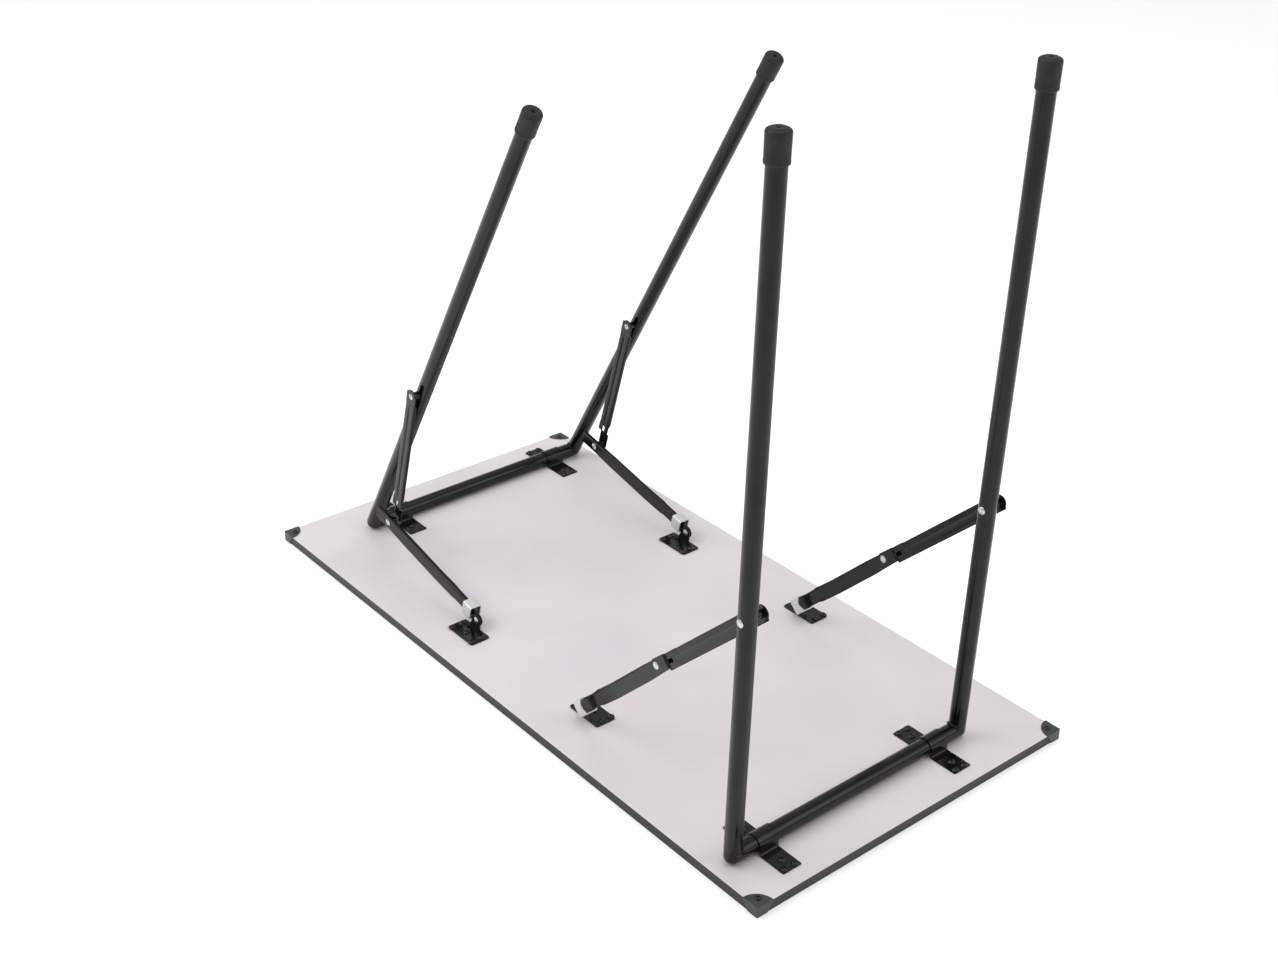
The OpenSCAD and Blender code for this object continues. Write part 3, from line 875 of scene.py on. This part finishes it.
def upperLinkMesh(length):
    half = upper["width"] / 2
    ribFrom, ribTo = upper["ribStart"], length - upper["ribStop"]
    flangeFrom, flangeTo = upper["flangeStart"], length - upper["flangeStop"]

    def sink(x, z):
        nearest = min(max(x, ribFrom), ribTo)
        away = math.hypot(x - nearest, z) / (upper["ribWidth"] / 2)
        return upper["ribDepth"] * 0.5 * (1 + math.cos(math.pi * min(away, 1)))

    # the leg end is round on one side of its rivet and has a square corner on the other
    heel = upper["heel"]
    stations = [half * -math.cos(math.radians(a)) for a in range(4, 91, 6)] + [-heel, -heel + 0.8]
    stations += [flangeFrom - 0.4] + [flangeFrom + upper["flangeCurve"] * (k / 8) ** 2 for k in range(9)]
    stations += [ribFrom + d for d in (-2.6, -2.2, -1.7, -1.2, -0.6, 0, 1)]
    stations += [ribFrom + 10, length / 2, ribTo - 10]
    stations += [ribTo + d for d in (-1, 0, 0.6, 1.2, 1.7, 2.2, 2.6)]
    stations += [flangeTo - upper["flangeCurve"] * (k / 8) ** 2 for k in range(9)] + [flangeTo + 0.4]
    stations += [length - upper["joggleAt"] + d for d in (-1.6, -1.2, -0.6, 0, 0.4)]
    stations += [length + upper["kneeRadius"] * math.cos(math.radians(a)) for a in range(90, 3, -6)]
    loops = []
    for x in sorted(set(round(station, 3) for station in stations)):
        wideLow = wideHigh = half
        if x < 0:
            wideLow = roundEnd(x, 0, half)
            wideHigh = min(half * (x + half) / (half - heel), half - 0.3) if x < -heel else half
            wideHigh = max(wideHigh, wideLow * 0.9)
        # the body runs below the knee rivet, and only the end plate is centred on it
        drop = upper["kneeLift"] * max(x, 0) / length
        wideLow, wideHigh = wideLow - drop, wideHigh + drop
        if x > length - upper["joggleAt"] - 0.8:
            wideLow = wideHigh = upper["kneeRadius"]
        if x > length:
            wideLow = wideHigh = roundEnd(x, length, upper["kneeRadius"])
        wide = (wideLow + wideHigh) / 2
        bent = min(max((x - length + upper["joggleAt"] + 1.6) / 1.6, 0), 1)
        joggle = upper["joggle"] * bent * bent * (3 - 2 * bent)
        inFrom = min(max((x - flangeFrom) / upper["flangeCurve"], 0), 1)
        inTo = min(max((flangeTo - x) / upper["flangeCurve"], 0), 1)
        share = math.sqrt(1 - (1 - inFrom) ** 2) * math.sqrt(1 - (1 - inTo) ** 2)
        depth = upper["sheet"] + (upper["far"] - upper["near"] - upper["sheet"]) * share
        loops.append(channelLoop(x, max(wide, 0.3), depth, upper, sink, (wideHigh - wideLow) / 2, joggle))
    return loft("upper_link", loops)


def lowerLinkMesh(length):
    half = lower["width"] / 2
    flangeFrom = lower["flangeStart"]
    curve = lower["flangeCurve"]
    stations = [lower["endRadius"] * -math.cos(math.radians(a)) for a in range(4, 91, 6)]
    stations += [flangeFrom - 0.4] + [flangeFrom + curve * (k / 8) ** 2 for k in range(9)]
    stop, taper, swellOver = lower["collarStop"], lower["taper"], lower["swellOver"]
    stations += [stop, stop + swellOver / 2, stop + swellOver, stop + taper, length - taper, length]
    stations += [length + lower["tip"] - 1, length + lower["tip"]]
    loops = []
    for x in sorted(set(round(station, 3) for station in stations)):
        blend = min(max(x / flangeFrom, 0), 1)
        wide = lower["endRadius"] + (half - lower["endRadius"]) * blend
        if x < 0:
            wide = roundEnd(x, 0, lower["endRadius"])
        inFrom = min(max((x - flangeFrom) / curve, 0), 1)
        share = math.sqrt(1 - (1 - inFrom) ** 2)
        depth = lower["sheet"] + (lower["far"] - lower["near"] - lower["sheet"]) * share
        # past the collar's travel the link widens, narrows again at the knee, and runs below the knee rivet
        swell = min(max((x - stop) / swellOver, 0), 1) * min(max((length - x) / taper, 0), 1)
        wide += (lower["wide"] - lower["width"]) / 2 * swell
        sag = min(max((x - stop) / taper, 0), 1)
        drop = -sag * (lower["tipDrop"] + (lower["drop"] - lower["tipDrop"]) * swell)
        loops.append(channelLoop(x, max(wide, 0.3), depth, lower, lambda x, z: 0.0, drop))
    return loft("lower_link", loops)


def windowTool(length):
    # tool for the slot through the web beside the knee
    start, stop, low, high = upper["window"]
    outline = roundedOutline(stop - start, high - low, 1.2, 4)
    tool = pressed("window", outline, upper["near"], upper["far"] + 1)
    turnedOver = Matrix(((1, 0, 0), (0, 0, 1), (0, 1, 0))).to_4x4()
    tool.transform(at(length - (start + stop) / 2, 0, (low + high) / 2 + upper["kneeLift"] / 2) @ turnedOver)
    tool.flip_normals()
    return tool


smallDrill = {"radius": 1.1, "reach": 3, "inset": 4}


def smallHole(x, face):
    # tool for a through hole along Y
    radius, reach = smallDrill["radius"], smallDrill["reach"]
    drill = turned("drill", [(0, -reach), (radius, -reach), (radius, reach), (0, reach)], 16)
    drill.transform(at(x, face, 0) @ facing((0, 1, 0)))
    return drill


collarLook = {
    "length": 16, "wall": 1.2, "corner": 2.2, "notch": 7, "relief": 6.8, "reliefTop": -7.2, "earSide": 30.8,
    "play": 3,
}


def collarMesh(low, high, width):
    wall, length = collarLook["wall"], collarLook["length"]
    depth = high - low
    outer = roundedOutline(width, depth, collarLook["corner"])
    inner = roundedOutline(width - 2 * wall, depth - 2 * wall, collarLook["corner"] - wall)
    loops = []
    for (a, b), (c, d) in zip(outer, inner):
        loops.append([(0, b, a), (length, b, a), (length, d, c), (0, d, c)])
    sleeve = ringSolid("sleeve", loops)
    sleeve.transform(at(0, (low + high) / 2, 0))
    bite = collarLook["notch"]
    notch = turned("notch", [(0, -1), (bite, -1), (bite, wall + 0.6), (0, wall + 0.6)], 48)
    notch.transform(at(length + bite / 2, low, 0) @ facing((0, 1, 0)))
    # relief that lets the lower wall pass the ear
    earSide, back = collarLook["earSide"], collarLook["relief"]
    room = [(-1, earSide), (back, earSide), (back, high + 1), (-1, high + 1)]
    relief = pressed("relief", room, -width, collarLook["reliefTop"])
    return carved(sleeve, [notch, relief])


def addBrace(end, row):
    name = f"{end}_{row}"
    upperPlace, lowerPlace = upperLinkPlace(end, row), lowerLinkPlace(end, row)
    knee = kneeAt(end, row)
    length = apart(knee, lowerPlace.translation)
    upperHole = smallHole(upper["ribStart"] - smallDrill["inset"], upper["far"])
    upperMesh = carved(upperLinkMesh(length), [upperHole, windowTool(length)])
    addPiece(f"{name}_upper_brace_link", [(upperMesh, upperPlace)], f"{name}_upper_link", "painted_steel",
             [f"{name}_upper_link"], upper["edge"])
    lowerHole = smallHole(length + lower["tip"] - smallDrill["inset"], lower["far"])
    lowerMesh = carved(lowerLinkMesh(length), [lowerHole])
    spacer = spacerMesh(lower["spacerRadius"], 0, lower["far"] - lower["sheet"] - upper["far"] - lower["gap"])
    spacerPlace = lowerPlace @ at(length, upper["far"] + lower["gap"], 0) @ facing((0, 1, 0))
    addPiece(f"{name}_lower_brace_link", [(lowerMesh, lowerPlace), (spacer, spacerPlace)],
             f"{name}_lower_link", "painted_steel", [f"{name}_lower_link"], lower["edge"])
    insideUpper = upper["far"] - upper["sheet"] - upper["joggle"]
    hiddenHead = upperPlace @ at(length, insideUpper, 0) @ facing((0, -1, 0))
    upperParts = [(domedHead(rivet["head"], rivet["rise"]), hiddenHead),
                  (shankMesh(-upper["sheet"] - upper["joggle"], 0), hiddenHead)]
    addPiece(f"{name}_upper_knee_rivet_head", upperParts, f"{name}_upper_link", "rivets",
             [f"{name}_upper_knee_rivet"], rivet["edge"])
    outerTail = lowerPlace @ at(length, lower["far"], 0) @ facing((0, 1, 0))
    lowerParts = [(domedHead(rivet["head"], rivet["rise"], rivet["pit"]), outerTail),
                  (shankMesh(-lower["sheet"], 0), outerTail)]
    addPiece(f"{name}_lower_knee_rivet_head", lowerParts, f"{name}_lower_link", "rivets",
             [f"{name}_lower_knee_rivet"], rivet["edge"])
    # the collar keeps its place along the link
    low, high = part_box(f"{name}_collar")
    away = apart((low + high) / 2, lowerPlace.translation)
    depths = sorted(abs(value - lowerPlace.translation.y) / mm for value in (low.y, high.y))
    sleeve = collarMesh(depths[0], depths[1], lower["width"] + collarLook["play"])
    addPiece(f"{name}_locking_collar", [(sleeve, lowerPlace @ at(away - collarLook["length"] / 2, 0, 0))],
             f"{name}_collar", "zinc", [f"{name}_collar"])


for end in ends:
    for row in rows:
        addBrace(end, row)


def addBracketRivets():
    parts = []
    inside, earFace = lower["far"] - lower["sheet"] - lower["gap"], bracket["earFace"]
    for end in ends:
        for row in rows:
            place = lowerLinkPlace(end, row)
            head = place @ at(0, inside, 0) @ facing((0, -1, 0))
            parts.append((domedHead(rivet["head"], rivet["rise"]), head))
            tail = place @ at(0, earFace, 0) @ facing((0, 1, 0))
            parts.append((domedHead(rivet["head"], rivet["rise"], rivet["pit"]), tail))
            parts.append((shankMesh(inside - earFace, 0), tail))
    addPiece("bracket_pivot_rivets", parts, "board", "rivets", ["bracket_rivets"], rivet["edge"])


addBracketRivets()
print("braces made")


# floor, light and camera
floorLook = {"half": 9, "below": 0.0004, "glow": 0.3}


def addFloor():
    half = floorLook["half"]
    corners = [(-half, -half, 0), (half, -half, 0), (half, half, 0), (-half, half, 0)]
    mesh = meshFrom("floor", corners, [(0, 1, 2, 3)])
    floor = bpy.data.objects.new("floor", mesh)
    floor.location.z = -floorLook["below"]
    bpy.context.scene.collection.objects.link(floor)
    finish = Finish("floor_paper", Roughness=0.9, Emission_Color=(1, 1, 1, 1),
                    Emission_Strength=floorLook["glow"])
    finish.colour(finish.blend(finish.noise(2, 2), shade(250, 250, 250), shade(247, 247, 247)))
    floor.data.materials.append(finish.material)


lights = {
    # name: (place, target, width, height, watts)
    "key": ((-1.5, -1.9, 2.5), (-0.1, 0, 0.2), 2.2, 1.4, 38),
    "fill": ((2.6, 1.6, 2.0), (0, 0, 0.3), 1.6, 2.2, 15),
    "top": ((0.2, 0.3, 3.2), (0, 0, 0), 2.6, 1.8, 20),
}
skyStrength = 0.6


def addLights():
    for name, (place, target, width, height, watts) in lights.items():
        lamp = bpy.data.lights.new(name, "AREA")
        lamp.shape = "RECTANGLE"
        lamp.size = width
        lamp.size_y = height
        lamp.energy = watts
        holder = bpy.data.objects.new(name, lamp)
        holder.location = place
        holder.rotation_euler = (Vector(target) - Vector(place)).to_track_quat("-Z", "Y").to_euler()
        bpy.context.scene.collection.objects.link(holder)
    world = bpy.data.worlds.new("studio")
    world.use_nodes = True
    sky = world.node_tree.nodes["Background"].inputs
    sky["Color"].default_value = (1, 1, 1, 1)
    sky["Strength"].default_value = skyStrength
    bpy.context.scene.world = world
    bpy.context.scene.view_settings.view_transform = "Standard"


cameraView = {
    "place": (1.3671, -1.1252, 1.1801), "turn": 50.568, "tilt": 28.781, "roll": 0.354,
    "lens": 49.505, "sensor": 36,
}


def addCamera():
    turn, tilt, roll = (math.radians(cameraView[key]) for key in ("turn", "tilt", "roll"))
    back = Vector((math.sin(turn) * math.cos(tilt), -math.cos(turn) * math.cos(tilt), math.sin(tilt)))
    level = Vector((math.cos(turn), math.sin(turn), 0))
    upright = back.cross(level)
    right = level * math.cos(roll) + upright * math.sin(roll)
    up = upright * math.cos(roll) - level * math.sin(roll)
    lens = bpy.data.cameras.new("camera")
    lens.lens = cameraView["lens"]
    lens.sensor_width = cameraView["sensor"]
    camera = bpy.data.objects.new("camera", lens)
    place = Matrix((right, up, back)).transposed().to_4x4()
    place.translation = Vector(cameraView["place"])
    camera.matrix_world = place
    bpy.context.scene.collection.objects.link(camera)
    bpy.context.scene.camera = camera


addFloor()
addLights()
addCamera()
print("floor, lights and camera set")
